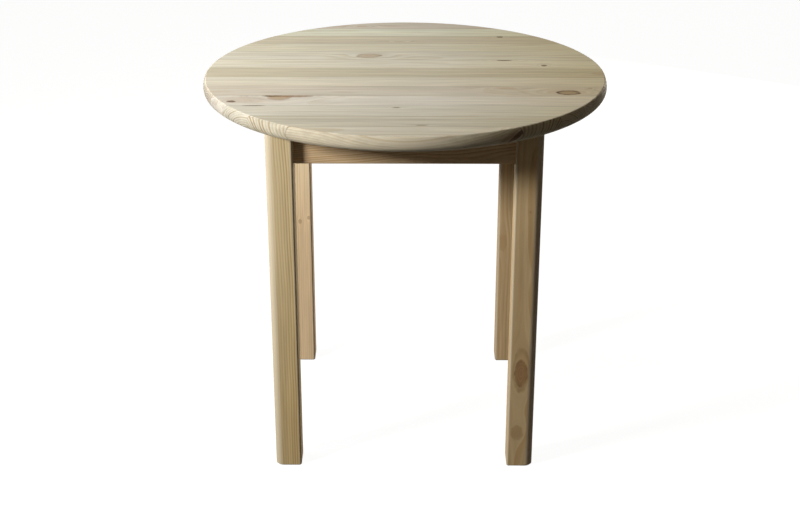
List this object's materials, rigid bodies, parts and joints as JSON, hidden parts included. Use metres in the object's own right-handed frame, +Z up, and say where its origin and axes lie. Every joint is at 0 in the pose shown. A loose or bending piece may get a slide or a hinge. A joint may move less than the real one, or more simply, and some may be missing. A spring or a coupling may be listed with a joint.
{
  "type": "round dining table",
  "caption": "Round pine dining table: a thick glued-stave top with a rounded edge on square legs, tied by straight aprons, dowels, corner blocks and hanger bolts.",
  "frame": {"origin": "on the floor, under the centre of the round top", "axes": "+Z up; +X along the staves of the top, to the right as the picture shows it; -Y towards the viewer"},
  "size_m": [0.8, 0.8, 0.75],
  "materials": {
    "pine_top": "planed and sanded pine, unfinished, edge-glued staves",
    "pine_leg": "planed and sanded pine, unfinished",
    "pine_apron": "planed and sanded pine, unfinished",
    "pine_block": "sawn pine",
    "beech_dowel": "turned beech",
    "steel_bracket": "zinc-plated pressed steel",
    "steel_fastener": "zinc-plated steel"
  },
  "bodies": {
    "root": {"apron_back": "pine_apron", "apron_dowels": "beech_dowel", "apron_front": "pine_apron", "apron_left": "pine_apron", "apron_right": "pine_apron", "bracket_apron_screws": "steel_fastener", "bracket_top_screws": "steel_fastener", "corner_block_back_left": "pine_block", "corner_block_back_right": "pine_block", "corner_block_front_left": "pine_block", "corner_block_front_right": "pine_block", "corner_block_screws": "steel_fastener", "hanger_bolt_nuts": "steel_fastener", "hanger_bolt_washers": "steel_fastener", "hanger_bolts": "steel_fastener", "leg_back_left": "pine_leg", "leg_back_right": "pine_leg", "leg_front_left": "pine_leg", "leg_front_right": "pine_leg", "top_bracket_back_left": "steel_bracket", "top_bracket_back_right": "steel_bracket", "top_bracket_front_left": "steel_bracket", "top_bracket_front_right": "steel_bracket", "top_bracket_left_back": "steel_bracket", "top_bracket_left_front": "steel_bracket", "top_bracket_right_back": "steel_bracket", "top_bracket_right_front": "steel_bracket", "top_stave_01": "pine_top", "top_stave_02": "pine_top", "top_stave_03": "pine_top", "top_stave_04": "pine_top", "top_stave_05": "pine_top", "top_stave_06": "pine_top", "top_stave_07": "pine_top", "top_stave_08": "pine_top", "top_stave_09": "pine_top", "top_stave_10": "pine_top", "top_stave_11": "pine_top", "top_stave_12": "pine_top", "top_stave_13": "pine_top"}
  },
  "joints": []
}
